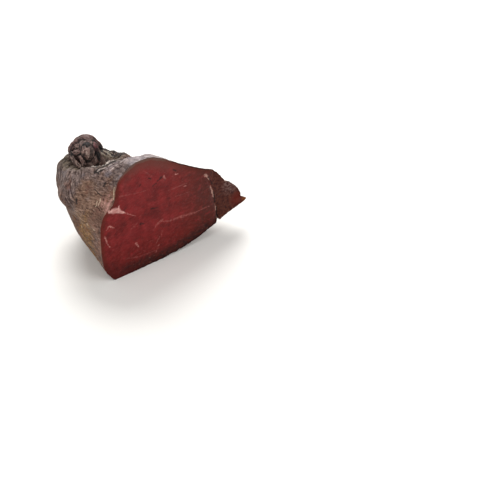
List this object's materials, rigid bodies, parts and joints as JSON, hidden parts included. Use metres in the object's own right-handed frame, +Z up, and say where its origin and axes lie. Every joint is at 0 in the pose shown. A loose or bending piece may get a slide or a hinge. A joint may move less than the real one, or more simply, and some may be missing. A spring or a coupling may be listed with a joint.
{
  "type": "smoked cured beef",
  "caption": "Tied-off end of a smoked, dried beef joint with a dark wrinkled crust, a knotted neck and a flat dark red cut face.",
  "frame": {"origin": "middle of the bounding box, on the surface the piece rests on", "axes": "+Z up; the cut face is the plane at the lowest Y and looks along -Y; +X runs along the width of the cut face, towards its thin flap"},
  "size_m": [0.1112, 0.0632, 0.0774],
  "materials": {
    "cured_beef": "dried meat: dull wrinkled grey-brown crust, and a dark red cut face with a faint moist sheen"
  },
  "bodies": {
    "root": {"cured_beef": "cured_beef"}
  },
  "joints": []
}
